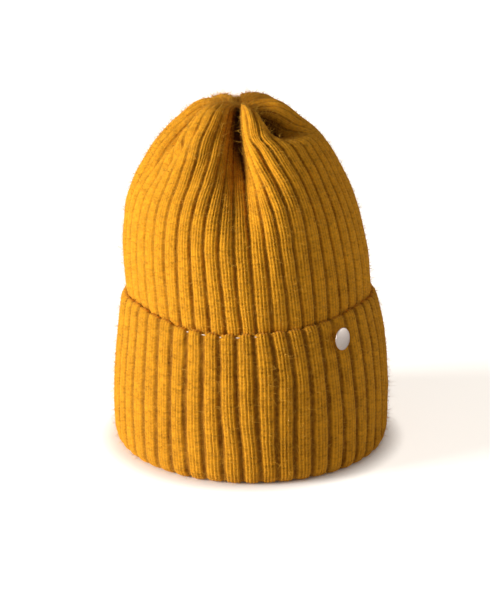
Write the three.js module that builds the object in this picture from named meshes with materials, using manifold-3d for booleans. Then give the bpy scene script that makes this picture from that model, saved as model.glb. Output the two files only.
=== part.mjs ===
// A rib-knit hat with a wide turned-up cuff, a crown gathered into soft lobes, and a small round badge.
// Millimetres, +Z up. The origin is the middle of the ring on which the folded edge rests.
// The front faces -Y, and azimuths are degrees from the front towards +X.

import * as THREE from 'three';
import { mergeVertices } from 'three/addons/utils/BufferGeometryUtils.js';
import Module from 'manifold-3d';

// Knit
const RIBS = 48;
const RIB_PITCH = 360 / RIBS;
const RIB_RISE = 0.9;
const RIB_SINK = 1.3;
const WALL = 3;

// One rib across its pitch, in the crown and in the stretched cuff: its height above or below the middle.
const CROWN_RIB = [
  { across: 0.08, height: -RIB_SINK },
  { across: 0.21, height: RIB_RISE },
  { across: 0.79, height: RIB_RISE },
  { across: 0.92, height: -RIB_SINK },
];
const CUFF_RIB = [
  { across: 0.1, height: -RIB_SINK },
  { across: 0.26, height: RIB_RISE },
  { across: 0.74, height: RIB_RISE },
  { across: 0.9, height: -RIB_SINK },
];
// The same pitch where the ribs are hidden or pressed flat.
const PLAIN_SECTION = [
  { across: 0.18, height: 0 },
  { across: 0.82, height: 0 },
];

// Lean of the crown to the left, between two heights
const LEAN = 6.5;
const LEAN_START = 60;
const LEAN_END = 170;

// Height of the cuff's top edge round the hat, over the height at which the tables below are drawn
const HEM_HEIGHT = 91;
const HEM_FADE = 160;
const HEM_EDGE = [
  { azimuth: -180, height: 91 },
  { azimuth: -90, height: 91.5 },
  { azimuth: -62, height: 94.5 },
  { azimuth: -43, height: 91.8 },
  { azimuth: -30, height: 88.9 },
  { azimuth: -10, height: 87.8 },
  { azimuth: 18, height: 89.4 },
  { azimuth: 36, height: 91.5 },
  { azimuth: 58, height: 94.6 },
  { azimuth: 90, height: 92 },
  { azimuth: 180, height: 91 },
];

// The crown's middle surface, from the fold at the floor to the pinch at the top. Spread widens the folds,
// slope widens their right walls, and gather draws the ribs together in the front fold.
const CROWN_PROFILE = [
  { z: 4.3, radius: 75.5, knit: 0, spread: 1, slope: 1, gather: 0 },
  { z: 80, radius: 69.9, knit: 0, spread: 1, slope: 1, gather: 0 },
  { z: 86, radius: 69.6, knit: 1, spread: 1, slope: 1, gather: 0 },
  { z: 98, radius: 72.2, knit: 1, spread: 0.6, slope: 1, gather: 0 },
  { z: 117, radius: 71.8, knit: 1, spread: 0.6, slope: 3.4, gather: 0 },
  { z: 136, radius: 69.5, knit: 1, spread: 0.65, slope: 3.2, gather: 0 },
  { z: 151, radius: 66, knit: 1, spread: 0.75, slope: 2.4, gather: 0.1 },
  { z: 165, radius: 60.2, knit: 1, spread: 0.95, slope: 2, gather: 0.2 },
  { z: 180, radius: 52.2, knit: 1, spread: 1.05, slope: 1.4, gather: 0.3 },
  { z: 190, radius: 44.9, knit: 1, spread: 1, slope: 1.1, gather: 0.4 },
  { z: 197, radius: 38.1, knit: 1, spread: 1, slope: 1, gather: 0.4 },
  { z: 203, radius: 31.7, knit: 0.9, spread: 1, slope: 1, gather: 0.4 },
  { z: 207, radius: 25.2, knit: 0.6, spread: 1.1, slope: 1, gather: 0.3 },
  { z: 208.5, radius: 17, knit: 0, spread: 1.3, slope: 1, gather: 0 },
  { z: 206.5, radius: 7.5, knit: 0, spread: 1.4, slope: 1, gather: 0 },
];
// The folds at the same heights: front, right and other are the shares of the radius that the front fold,
// the right fold and the rest take away. Drop is how far their floors sink, pocket how far the right one's does.
const FOLD_DEPTHS = [
  { z: 4.3, front: 0, right: 0, other: 0, drop: 0, pocket: 0 },
  { z: 80, front: 0, right: 0, other: 0, drop: 0, pocket: 0 },
  { z: 86, front: 0, right: 0, other: 0, drop: 0, pocket: 0 },
  { z: 98, front: 0, right: 0, other: 0, drop: 0, pocket: 0 },
  { z: 117, front: 0.015, right: 0, other: 0, drop: 0, pocket: 0 },
  { z: 136, front: 0.05, right: 0, other: 0, drop: 0, pocket: 0 },
  { z: 151, front: 0.13, right: 0, other: 0.01, drop: 0, pocket: 0 },
  { z: 165, front: 0.29, right: 0, other: 0.04, drop: 0, pocket: 0 },
  { z: 180, front: 0.5, right: 0, other: 0.2, drop: 1, pocket: 0 },
  { z: 190, front: 0.62, right: 0.06, other: 0.45, drop: 3, pocket: 1 },
  { z: 197, front: 0.68, right: 0.55, other: 0.6, drop: 7, pocket: 13 },
  { z: 203, front: 0.7, right: 0.75, other: 0.7, drop: 11, pocket: 19 },
  { z: 207, front: 0.7, right: 0.8, other: 0.7, drop: 12, pocket: 21 },
  { z: 208.5, front: 0.7, right: 0.8, other: 0.7, drop: 11, pocket: 20 },
  { z: 206.5, front: 0.6, right: 0.6, other: 0.6, drop: 6, pocket: 14 },
];
const CROWN_SECTIONS = CROWN_PROFILE.map((row, index) => ({ ...row, ...FOLD_DEPTHS[index] }));
const PINCH_HEIGHT = 199;
const INNER_PINCH_HEIGHT = 180;
const INNER_TOP_SECTION = 10;
const INNER_SECTIONS_LEFT_OUT = [4];

// Each fold follows one rib, counted from the front fold, from its azimuth low on the crown to the one at the
// top. It is so many degrees wide on either side, and its depth and its sink are shares of the deepest.
const FOLDS = [
  { name: 'front', rib: 0, low: 3.6, high: -1, left: 17, right: 4.2, power: 2.8, depth: 1, sink: 0.7 },
  { name: 'right', rib: 8, low: 60.8, high: 60, left: 20, right: 23, power: 5, depth: 1, sink: 1 },
  { name: 'right back', rib: 15, low: 114.8, high: 118, left: 8, right: 8, power: 2, depth: 0.35, sink: 0.3 },
  { name: 'back', rib: 22, low: 168.7, high: 190, left: 8, right: 8, power: 2, depth: 0.35, sink: 0.3 },
  { name: 'left back', rib: 31, low: 237.9, high: 236, left: 8, right: 8, power: 2, depth: 0.45, sink: 0.4 },
  { name: 'left', rib: 39, low: 299.7, high: 288, left: 9, right: 7, power: 2, depth: 0.4, sink: 0.5 },
];
const FRONT_FOLD = FOLDS[0];
const RIGHT_FOLD = FOLDS[1];
const FOLD_LINE_START = 165;
const FOLD_LINE_END = 210;
const FOLD_RIB_LOSS = 0.7;
const RIGHT_GATHER = -0.8;
const POCKET_LOSS = 0.8;

// Small creases between the folds, each from a low point to a high one
const CREASES = [
  { low: 160, lowAzimuth: -66, high: 204, highAzimuth: -66, depth: 3, width: 6 },
  { low: 160, lowAzimuth: -30, high: 206, highAzimuth: -22, depth: 2, width: 4 },
  { low: 160, lowAzimuth: 25, high: 206, highAzimuth: 8, depth: 2.5, width: 4 },
];

// The cuff's outside, from the ring on the floor to its top edge, and its inside back down to the lip
// that passes under the crown. Radii are those of the knit's middle outside, and of the bare wall inside.
const CUFF_OUTSIDE = [
  { z: 0, radius: 77.2, knit: 0 },
  { z: 2, radius: 80, knit: 0.5 },
  { z: 9, radius: 82.2, knit: 1 },
  { z: 40, radius: 82.3, knit: 1 },
  { z: 66, radius: 79.7, knit: 1 },
  { z: 81.4, radius: 77.2, knit: 1 },
  { z: 89, radius: 75.2, knit: 0.8 },
  { z: 91, radius: 73.6, knit: 0 },
];
const CUFF_INSIDE = [
  { z: 89.3, radius: 72 },
  { z: 80, radius: 73.6 },
  { z: 60, radius: 76.8 },
  { z: 30, radius: 78.6 },
  { z: 4, radius: 78.3 },
  { z: 4, radius: 73.3 },
  { z: 2.6, radius: 72.3 },
  { z: 1, radius: 72.7 },
  { z: 0, radius: 74 },
];
const CUFF_PHASE_HEM = -5.6;
const CUFF_PHASE_FLOOR = -3.9;

// Badge, on the rib at the front right of the cuff, and the plain post and washer that hold it
const BADGE_RADIUS = 6.45;
const BADGE_THICKNESS = 1.1;
const BADGE_DOME = 0.35;
const BADGE_AZIMUTH = 41;
const BADGE_FACING = 50.5;
const BADGE_TILT = 7;
const BADGE_HEIGHT = 81.4;
const BADGE_BACK_RADIUS = 80;
const BADGE_SIDES = 32;
const SEAT_GAP = 0.3;
const POST_RADIUS = 1;
const POST_HOLE_RADIUS = 1.3;
const POST_LENGTH = 7.45;
const WASHER_RADIUS = 3;
const WASHER_THICKNESS = 0.6;
const POST_SIDES = 16;

const WOOL = { color: 0xc98a1c, roughness: 0.95, metalness: 0 };
const BADGE_METAL = { color: 0xb9b4ae, roughness: 0.35, metalness: 0.9 };

const UP = new THREE.Vector3(0, 0, 1);
const radians = THREE.MathUtils.degToRad;
const smoothstep = THREE.MathUtils.smoothstep;
const lerp = THREE.MathUtils.lerp;

// Places round the hat

function leanAt(z) {
  return -LEAN * smoothstep(z, LEAN_START, LEAN_END);
}

function wrapDegrees(angle) {
  return THREE.MathUtils.euclideanModulo(angle + 180, 360) - 180;
}

function hemHeight(azimuth) {
  const wrapped = wrapDegrees(azimuth);
  const upper = Math.max(1, HEM_EDGE.findIndex((row) => row.azimuth >= wrapped));
  const a = HEM_EDGE[upper - 1];
  const b = HEM_EDGE[upper];
  return lerp(a.height, b.height, smoothstep(wrapped, a.azimuth, b.azimuth));
}

// The hem's rise carries the cuff below it and the crown just above it.
function withHem(z, azimuth) {
  const share = z < HEM_HEIGHT ? smoothstep(z, 0, HEM_HEIGHT) : 1 - smoothstep(z, HEM_HEIGHT, HEM_FADE);
  return z + (hemHeight(azimuth) - HEM_HEIGHT) * share;
}

function placeAround(radius, azimuth, z) {
  const point = new THREE.Vector3(0, -radius, 0).applyAxisAngle(UP, radians(azimuth));
  return point.setX(point.x + leanAt(z)).setZ(withHem(z, azimuth));
}

// Bodies made of rings

// Triangles between two rings of points, where one may have twice the points of the other.
function bridge(a, b) {
  const triangles = [];
  const steps = Math.min(a.length, b.length);
  for (let j = 0; j < steps; j += 1) {
    const k = (j + 1) % steps;
    if (a.length === b.length) {
      triangles.push([a[j], a[k], b[k]], [a[j], b[k], b[j]]);
    } else if (b.length > a.length) {
      triangles.push([a[j], b[2 * j + 1], b[2 * j]]);
      triangles.push([a[j], a[k], b[2 * j + 1]]);
      triangles.push([a[k], b[2 * k], b[2 * j + 1]]);
    } else {
      triangles.push([a[2 * j], a[2 * j + 1], b[j]]);
      triangles.push([a[2 * j + 1], b[k], b[j]]);
      triangles.push([a[2 * j + 1], a[2 * k], b[k]]);
    }
  }
  return triangles;
}

function geometryOf(triangles) {
  const positions = triangles.flat().flatMap((point) => [point.x, point.y, point.z]);
  const geometry = new THREE.BufferGeometry();
  geometry.setAttribute('position', new THREE.Float32BufferAttribute(positions, 3));
  const merged = mergeVertices(geometry, 1e-4);
  merged.computeVertexNormals();
  return merged;
}

// Crown

function foldAzimuth(fold, z) {
  return lerp(fold.low, fold.high, smoothstep(z, FOLD_LINE_START, FOLD_LINE_END));
}

function foldShare(fold, azimuth, section) {
  const away = wrapDegrees(azimuth - foldAzimuth(fold, section.z));
  const width = (away < 0 ? fold.left : fold.right * section.slope) * section.spread;
  return 1 / (1 + (Math.abs(away) / width) ** fold.power);
}

function foldDepth(fold, azimuth, section) {
  return (section[fold.name] ?? section.other) * fold.depth * foldShare(fold, azimuth, section);
}

function foldSink(fold, section) {
  return fold.name === 'right' ? section.pocket : section.drop * fold.sink;
}

function creaseDepth(crease, azimuth, section) {
  const along = (section.z - crease.low) / (crease.high - crease.low);
  if (along <= 0 || along >= 1 || section.radius < 10) return 0;
  const away = wrapDegrees(azimuth - lerp(crease.lowAzimuth, crease.highAzimuth, along)) / crease.width;
  return crease.depth * Math.sin(Math.PI * along) * Math.exp(-away * away);
}

function crownPoint(section, azimuth) {
  let radius = section.radius;
  let sink = 0;
  for (const fold of FOLDS) {
    radius *= 1 - foldDepth(fold, azimuth, section);
    sink = Math.max(sink, foldSink(fold, section) * foldShare(fold, azimuth, section));
  }
  for (const crease of CREASES) radius -= creaseDepth(crease, azimuth, section);
  const point = placeAround(radius, azimuth, section.z);
  point.z -= sink;
  return point;
}

// How closely the ribs lie together at an azimuth: near the front fold, and less so in the pocket.
function ribGather(section, azimuth) {
  const rightOfFold = wrapDegrees(azimuth - foldAzimuth(FRONT_FOLD, section.z)) > 0;
  const gather = (rightOfFold ? RIGHT_GATHER : 1) * section.gather * foldShare(FRONT_FOLD, azimuth, section);
  return (1 + gather) * (1 - POCKET_LOSS * section.right * foldShare(RIGHT_FOLD, azimuth, section));
}

// Azimuths of the ring's columns: between two folds the ribs share the knit's length, so they run down into
// the folds.
const ARC_STEPS = 96;

function ribAzimuths(section, ribs) {
  return FOLDS.flatMap((fold, index) => {
    const next = FOLDS[(index + 1) % FOLDS.length];
    const endRib = next.rib || RIBS;
    const start = foldAzimuth(fold, section.z);
    const end = start + THREE.MathUtils.euclideanModulo(foldAzimuth(next, section.z) - start, 360);
    const lengths = [0];
    let last = crownPoint(section, start);
    for (let step = 1; step <= ARC_STEPS; step += 1) {
      const azimuth = lerp(start, end, step / ARC_STEPS);
      const point = crownPoint(section, azimuth);
      lengths.push(lengths[step - 1] + point.distanceTo(last) * ribGather(section, azimuth));
      last = point;
    }
    return ribs.filter((rib) => rib >= fold.rib && rib < endRib).map((rib) => {
      const wanted = lengths[ARC_STEPS] * (rib - fold.rib) / (endRib - fold.rib);
      const step = Math.max(1, lengths.findIndex((length) => length >= wanted));
      const part = (wanted - lengths[step - 1]) / (lengths[step] - lengths[step - 1]);
      return lerp(start, end, (step - 1 + part) / ARC_STEPS);
    });
  });
}

function columnsOf(pattern) {
  return Array.from({ length: RIBS }, (_, rib) => pattern.map((column) => rib + column.across)).flat();
}

// The middle surface's outward normals, from the neighbours round the ring and along the wall.
const NORMAL_STEP = 0.5;

function ringNormals(section, azimuths) {
  const index = CROWN_SECTIONS.indexOf(section);
  const below = CROWN_SECTIONS[Math.max(0, index - 1)];
  const above = CROWN_SECTIONS[Math.min(CROWN_SECTIONS.length - 1, index + 1)];
  return azimuths.map((azimuth) => {
    const before = crownPoint(section, azimuth - NORMAL_STEP);
    const round = crownPoint(section, azimuth + NORMAL_STEP).sub(before);
    const along = crownPoint(above, azimuth).sub(crownPoint(below, azimuth));
    return round.cross(along).normalize();
  });
}

function crownRing(section, pattern, offset) {
  const ribs = columnsOf(pattern);
  const azimuths = ribAzimuths(section, ribs);
  const normals = ringNormals(section, azimuths);
  return azimuths.map((azimuth, column) => {
    const inFold = Math.max(...FOLDS.map((fold) => foldDepth(fold, azimuth, section)));
    const height = pattern[column % pattern.length].height * section.knit * (1 - FOLD_RIB_LOSS * inFold);
    return crownPoint(section, azimuth).addScaledVector(normals[column], height + offset);
  });
}

function crownGeometry() {
  const outer = CROWN_SECTIONS.map((section) => {
    const pattern = section.knit > 0 ? CROWN_RIB : PLAIN_SECTION;
    return crownRing(section, pattern, section.knit > 0 ? 0 : RIB_RISE);
  });
  const innerSections = CROWN_SECTIONS.slice(0, INNER_TOP_SECTION + 1)
    .filter((_, index) => !INNER_SECTIONS_LEFT_OUT.includes(index));
  const inner = innerSections.reverse()
    .map((section) => crownRing(section, PLAIN_SECTION, RIB_RISE - WALL));
  for (const point of [...inner[inner.length - 1], ...outer[0]]) point.z = CROWN_SECTIONS[0].z;
  const centre = leanAt(LEAN_END);
  const innerPinch = new THREE.Vector3(centre, 0, INNER_PINCH_HEIGHT);
  const pinch = new THREE.Vector3(centre, 0, PINCH_HEIGHT);
  const rings = [...inner, ...outer];
  const triangles = [];
  inner[0].forEach((point, j, ring) => triangles.push([innerPinch, ring[(j + 1) % ring.length], point]));
  for (let i = 1; i < rings.length; i += 1) triangles.push(...bridge(rings[i - 1], rings[i]));
  outer.at(-1).forEach((point, j, ring) => triangles.push([point, ring[(j + 1) % ring.length], pinch]));
  return geometryOf(triangles);
}

// Cuff

function cuffRing(row, pattern) {
  const phase = lerp(CUFF_PHASE_FLOOR, CUFF_PHASE_HEM, row.z / HEM_HEIGHT);
  return columnsOf(pattern).map((rib, column) => {
    const height = pattern[column % pattern.length].height * (row.knit ?? 0);
    return placeAround(row.radius + height, phase + rib * RIB_PITCH, row.z);
  });
}

function cuffGeometry() {
  const rings = [
    ...CUFF_OUTSIDE.map((row) => cuffRing(row, row.knit > 0 ? CUFF_RIB : PLAIN_SECTION)),
    ...CUFF_INSIDE.map((row) => cuffRing(row, PLAIN_SECTION)),
  ];
  const triangles = rings.flatMap((ring, i) => bridge(ring, rings[(i + 1) % rings.length]));
  return geometryOf(triangles);
}

// Badge, post and washer are turned about the axis that the badge faces along.

function latheAlongZ(outline, sides) {
  const points = outline.map(([radius, height]) => new THREE.Vector2(radius, height));
  return new THREE.LatheGeometry(points, sides).rotateX(Math.PI / 2);
}

function badgeGeometry() {
  const rim = BADGE_RADIUS - 0.35;
  return latheAlongZ([
    [0, 0],
    [rim, 0],
    [BADGE_RADIUS, 0.3],
    [BADGE_RADIUS, BADGE_THICKNESS - 0.3],
    [rim, BADGE_THICKNESS],
    [rim * 0.85, BADGE_THICKNESS + BADGE_DOME * 0.3],
    [rim * 0.5, BADGE_THICKNESS + BADGE_DOME * 0.8],
    [0, BADGE_THICKNESS + BADGE_DOME],
  ], BADGE_SIDES);
}

function postGeometry() {
  const top = -SEAT_GAP;
  const end = top - POST_LENGTH;
  return latheAlongZ([
    [0, end],
    [WASHER_RADIUS, end],
    [WASHER_RADIUS, end + WASHER_THICKNESS],
    [POST_RADIUS, end + WASHER_THICKNESS],
    [POST_RADIUS, top],
    [0, top],
  ], POST_SIDES);
}

function badgeFrame() {
  const facing = new THREE.Vector3(
    Math.sin(radians(BADGE_FACING)) * Math.cos(radians(BADGE_TILT)),
    -Math.cos(radians(BADGE_FACING)) * Math.cos(radians(BADGE_TILT)),
    Math.sin(radians(BADGE_TILT)),
  );
  const side = UP.clone().cross(facing).normalize();
  const up = facing.clone().cross(side);
  const at = new THREE.Vector3(
    leanAt(BADGE_HEIGHT) + BADGE_BACK_RADIUS * Math.sin(radians(BADGE_AZIMUTH)),
    -BADGE_BACK_RADIUS * Math.cos(radians(BADGE_AZIMUTH)),
    BADGE_HEIGHT,
  );
  return new THREE.Matrix4().makeBasis(side, up, facing).setPosition(at);
}

// Cuts one closed body out of another.
function subtract(wasm, body, tool) {
  const solids = [body, tool].map((geometry) => {
    const bare = geometry.clone();
    bare.deleteAttribute('normal');
    bare.deleteAttribute('uv');
    const merged = mergeVertices(bare, 1e-4);
    return new wasm.Manifold(new wasm.Mesh({
      numProp: 3,
      vertProperties: new Float32Array(merged.attributes.position.array),
      triVerts: new Uint32Array(merged.index.array),
    }));
  });
  const cut = solids[0].subtract(solids[1]).getMesh();
  const geometry = new THREE.BufferGeometry();
  geometry.setAttribute('position', new THREE.Float32BufferAttribute(cut.vertProperties, 3));
  geometry.setIndex(new THREE.Uint32BufferAttribute(cut.triVerts, 1));
  geometry.computeVertexNormals();
  return geometry;
}

function piece(name, geometry, finish) {
  const mesh = new THREE.Mesh(geometry, new THREE.MeshStandardMaterial(finish));
  mesh.name = name;
  return mesh;
}

const wasm = await Module();
wasm.setup();

const badgePlace = badgeFrame();
const postHole = new THREE.CylinderGeometry(POST_HOLE_RADIUS, POST_HOLE_RADIUS, 2 * POST_LENGTH, POST_SIDES)
  .rotateX(Math.PI / 2)
  .applyMatrix4(badgePlace);

const group = new THREE.Group();
group.add(piece('crown', crownGeometry(), WOOL));
group.add(piece('cuff', subtract(wasm, cuffGeometry(), postHole), WOOL));

const badge = new THREE.Group();
badge.applyMatrix4(badgePlace);
badge.add(piece('badge', badgeGeometry(), BADGE_METAL));
badge.add(piece('badge_post', postGeometry(), BADGE_METAL));
group.add(badge);

export default group;
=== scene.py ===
import math

import bpy
import numpy as np
from mathutils import Matrix, Vector


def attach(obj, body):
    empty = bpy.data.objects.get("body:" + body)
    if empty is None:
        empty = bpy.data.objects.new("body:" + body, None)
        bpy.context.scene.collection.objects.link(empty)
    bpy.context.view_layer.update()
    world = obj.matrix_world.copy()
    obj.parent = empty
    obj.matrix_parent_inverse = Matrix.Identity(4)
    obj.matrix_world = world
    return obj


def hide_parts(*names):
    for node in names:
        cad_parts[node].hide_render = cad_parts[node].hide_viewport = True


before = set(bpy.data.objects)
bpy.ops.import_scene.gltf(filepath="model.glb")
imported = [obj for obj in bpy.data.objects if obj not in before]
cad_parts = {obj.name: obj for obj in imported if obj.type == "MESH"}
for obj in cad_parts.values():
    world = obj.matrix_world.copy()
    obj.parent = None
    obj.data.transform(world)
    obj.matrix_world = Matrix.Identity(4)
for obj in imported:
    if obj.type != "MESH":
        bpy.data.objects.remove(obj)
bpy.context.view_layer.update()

# Sizes are in metres, in the frame of the solids: +Z up, -Y the front.
# Azimuths are degrees from the front towards +X.

# Steps in which a profile is measured, and the smallest differences that count
PROFILE_STEPS = 4000
TINY_SHARE = 1e-6
TINY_LENGTH = 1e-12

# Ribs, wales and stitches of the knit
RIBS = 48
RIB_PITCH = 360 / RIBS
RIB_WIDTH = 0.0098
WALES = 2
QUADS_PER_WALE = 6
VALLEY_COLUMNS = 2
COURSE = 0.00185
ROWS_PER_COURSE = 3
RIB_RISE = 0.0009
RIB_SINK = 0.0012
RIB_ROUNDNESS = 2.2
WALE_GROOVE = 0.0008
STITCH_RELIEF = 0.0002
YARN_JITTER = 0.00006
WALL = 0.003

# The two layers of knit: the share of the pitch that is raised, how much painted shade darkens the valleys,
# how far the ribs are stretched smooth over the left of the front, and how far they wobble
CROWN_LAYER = dict(name="crown", knit=0.80, valley=0.55, smoothing=0.5, wobble=0.01)
CUFF_LAYER = dict(name="cuff", knit=0.73, valley=0.62, smoothing=0.35, wobble=0.008)
SMOOTH_AZIMUTH = -60
SMOOTH_WIDTH = 24
KNIT_PARTS = 3

# Stitches keep this much of their relief and of their painted shade where the ribs are flat
LEAST_RELIEF = 0.3
LEAST_SHADE = 0.1

# How a stitch lifts with its course, in shares of its relief: all over, on its legs, in its middle, and the
# valley beside it
STITCH_LIFT = dict(over=-0.4, leg=-0.5, centre=-0.6, valley=0.3)

# Painted shade in the parts of a stitch: the hole in its middle and the gap between wales, with a random
# darker tone for its own looseness. The beats are how much that changes with the course.
STITCH_SHADE = dict(hole=0.4, hole_beat=0.08, gap=0.6, leg_beat=0.08, loose=0.14)
# The mean of the painted stitch shade and tone
MEAN_GROOVE = 0.3

# From the tightest stitch to the loosest, how much deeper its gap, its relief and its hole get
LOOSE_GAP = (0.9, 1.1)
LOOSE_RELIEF = (0.6, 1.4)
LOOSE_HOLE = (0.85, 1.15)

# Slow waves over the knit: how many make each, their most cycles round the hat, and their length along it
DRIFT_WAVES = dict(waves=12, rib_cycles=14, length=0.12)
WOBBLE_WAVES = dict(waves=24, rib_cycles=24, length=0.022)
SWELL_WAVES = dict(waves=14, rib_cycles=24, length=0.03)
SLACK_WAVES = dict(waves=24, rib_cycles=24, length=0.03)
WAVE_PACES = (0.4, 1.6)
RIB_DRIFT = 0.045
RIB_SWELL = 0.18
SLACK = dict(mean=0.85, change=0.15, least=0.5, most=1.2)

# Lean of the crown to the left, between two heights
LEAN = 0.0065
LEAN_START = 0.060
LEAN_END = 0.170

# The cuff's top edge round the hat
HEM_HEIGHT = 0.091
HEM_FADE = 0.160
HEM_EDGE = [
    dict(azimuth=-180, height=0.0910),
    dict(azimuth=-90, height=0.0915),
    dict(azimuth=-62, height=0.0945),
    dict(azimuth=-43, height=0.0918),
    dict(azimuth=-30, height=0.0889),
    dict(azimuth=-10, height=0.0878),
    dict(azimuth=18, height=0.0894),
    dict(azimuth=36, height=0.0915),
    dict(azimuth=58, height=0.0946),
    dict(azimuth=90, height=0.0920),
    dict(azimuth=180, height=0.0910),
]

# The crown's middle surface from the floor fold to the pinch. Spread widens the folds, slope widens their
# right walls, and gather draws the ribs together in the front fold.
CROWN_SECTIONS = [
    dict(z=0.0043, radius=0.0755, spread=1, slope=1, gather=0),
    dict(z=0.0450, radius=0.0752, spread=1, slope=1, gather=0),
    dict(z=0.0780, radius=0.0716, spread=1, slope=1, gather=0),
    dict(z=0.0860, radius=0.0708, spread=1, slope=1, gather=0),
    dict(z=0.0920, radius=0.0719, spread=0.6, slope=1, gather=0),
    dict(z=0.0980, radius=0.0723, spread=0.6, slope=1, gather=0),
    dict(z=0.1170, radius=0.0718, spread=0.6, slope=3.4, gather=0),
    dict(z=0.1360, radius=0.0695, spread=0.65, slope=3.2, gather=0),
    dict(z=0.1510, radius=0.0660, spread=0.75, slope=2.4, gather=0.1),
    dict(z=0.1650, radius=0.0602, spread=0.95, slope=2, gather=0.2),
    dict(z=0.1800, radius=0.0522, spread=1.05, slope=1.4, gather=0.3),
    dict(z=0.1900, radius=0.0449, spread=1, slope=1.1, gather=0.4),
    dict(z=0.1970, radius=0.0381, spread=1, slope=1, gather=0.4),
    dict(z=0.2030, radius=0.0317, spread=1, slope=1, gather=0.4),
    dict(z=0.2070, radius=0.0252, spread=1.1, slope=1, gather=0.3),
    dict(z=0.2085, radius=0.0170, spread=1.3, slope=1, gather=0),
    dict(z=0.2065, radius=0.0075, spread=1.4, slope=1, gather=0),
    dict(z=0.1990, radius=0.0012, spread=1.4, slope=1, gather=0),
]

# The folds at the same heights: front, right and other are the shares of the radius that the front fold, the
# right fold and the rest take away. Drop is how far their floors sink, and pocket how far that of the right
# fold does.
FOLD_DEPTHS = [
    dict(z=0.0043, front=0, right=0, other=0, drop=0, pocket=0),
    dict(z=0.0450, front=0, right=0, other=0, drop=0, pocket=0),
    dict(z=0.0780, front=0, right=0, other=0, drop=0, pocket=0),
    dict(z=0.0860, front=0, right=0, other=0, drop=0, pocket=0),
    dict(z=0.0920, front=0, right=0, other=0, drop=0, pocket=0),
    dict(z=0.0980, front=0, right=0, other=0, drop=0, pocket=0),
    dict(z=0.1170, front=0.015, right=0, other=0, drop=0, pocket=0),
    dict(z=0.1360, front=0.05, right=0, other=0, drop=0, pocket=0),
    dict(z=0.1510, front=0.13, right=0, other=0.01, drop=0, pocket=0),
    dict(z=0.1650, front=0.29, right=0, other=0.04, drop=0, pocket=0),
    dict(z=0.1800, front=0.5, right=0, other=0.2, drop=0.001, pocket=0),
    dict(z=0.1900, front=0.62, right=0.06, other=0.45, drop=0.003, pocket=0.001),
    dict(z=0.1970, front=0.68, right=0.55, other=0.6, drop=0.007, pocket=0.013),
    dict(z=0.2030, front=0.7, right=0.75, other=0.7, drop=0.011, pocket=0.019),
    dict(z=0.2070, front=0.7, right=0.8, other=0.7, drop=0.012, pocket=0.021),
    dict(z=0.2085, front=0.7, right=0.8, other=0.7, drop=0.011, pocket=0.02),
    dict(z=0.2065, front=0.6, right=0.6, other=0.6, drop=0.006, pocket=0.014),
    dict(z=0.1990, front=0.3, right=0.3, other=0.3, drop=0, pocket=0),
]
FIRST_SHOWN_SECTION = 2.6

# Each fold follows one rib, counted from the front fold, from its azimuth low on the crown to the one at the
# top. It is so many degrees wide before and after that line. Edge is how sharply it ends there, and depth
# and sink are shares of the deepest.
FOLDS = [
    dict(name="front", rib=0, low=3.6, high=-1, before=17, after=4.2, edge=2.8, depth=1, sink=0.7),
    dict(name="right", rib=8, low=60.8, high=57, before=22, after=24, edge=5, depth=1, sink=1),
    dict(name="right back", rib=15, low=114.8, high=118, before=8, after=8, edge=2, depth=0.35, sink=0.3),
    dict(name="back", rib=22, low=168.7, high=190, before=8, after=8, edge=2, depth=0.35, sink=0.3),
    dict(name="left back", rib=31, low=237.9, high=236, before=8, after=8, edge=2, depth=0.45, sink=0.4),
    dict(name="left", rib=39, low=299.7, high=288, before=9, after=7, edge=2, depth=0.4, sink=0.5),
]
FRONT_FOLD, RIGHT_FOLD = FOLDS[:2]
FOLD_LINE_START = 0.165
FOLD_LINE_END = 0.21
FOLD_RIB_LOSS = 0.7
RIGHT_GATHER = -0.8
POCKET_LOSS = 0.8
ARC_STEPS = 160

# Painted shade in the depths of the folds, and in the right fold's pocket. Each pair is where in a fold the
# painted shade starts and where it is full.
FRONT_SHADE = dict(most=0.94, left_flank=(0.2, 0.6), elsewhere=(0.17, 0.5))
LEFT_FLANK = 30
POCKET_SHADE = dict(most=0.62, inside=(0.3, 0.65), width=32)

# Where the ribs draw together at the pinch, they wander less and flatten
CALM_RADIUS = 0.03
FULL_RIB_WIDTH = 0.008

# Small creases between the folds, each from a low point to a high one
CREASES = [
    dict(low=0.160, low_azimuth=-72, high=0.204, high_azimuth=-64, depth=0.0034, width=5),
    dict(low=0.156, low_azimuth=-66, high=0.204, high_azimuth=-38, depth=0.0026, width=5),
    dict(low=0.160, low_azimuth=-30, high=0.206, high_azimuth=-22, depth=0.002, width=4),
    dict(low=0.160, low_azimuth=25, high=0.206, high_azimuth=8, depth=0.0025, width=4),
]
CREASE_RADIUS = 0.02

# The crown's inside, and the steps in which it closes towards the middle of the pinch
INSIDE_ROW = 0.003
INSIDE_COLUMNS = 8
INSIDE_LAST_SECTION = 13
INSIDE_RIBS = 0.6
INSIDE_TOP = 0.186
INSIDE_CLOSING = (0.4, 0.75, 1.0)
# The inside's even depth, and its even painted stitch shade at the knit's mean
INSIDE_DEPTH = 0.5
INSIDE_GROOVE = 0.3

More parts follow.
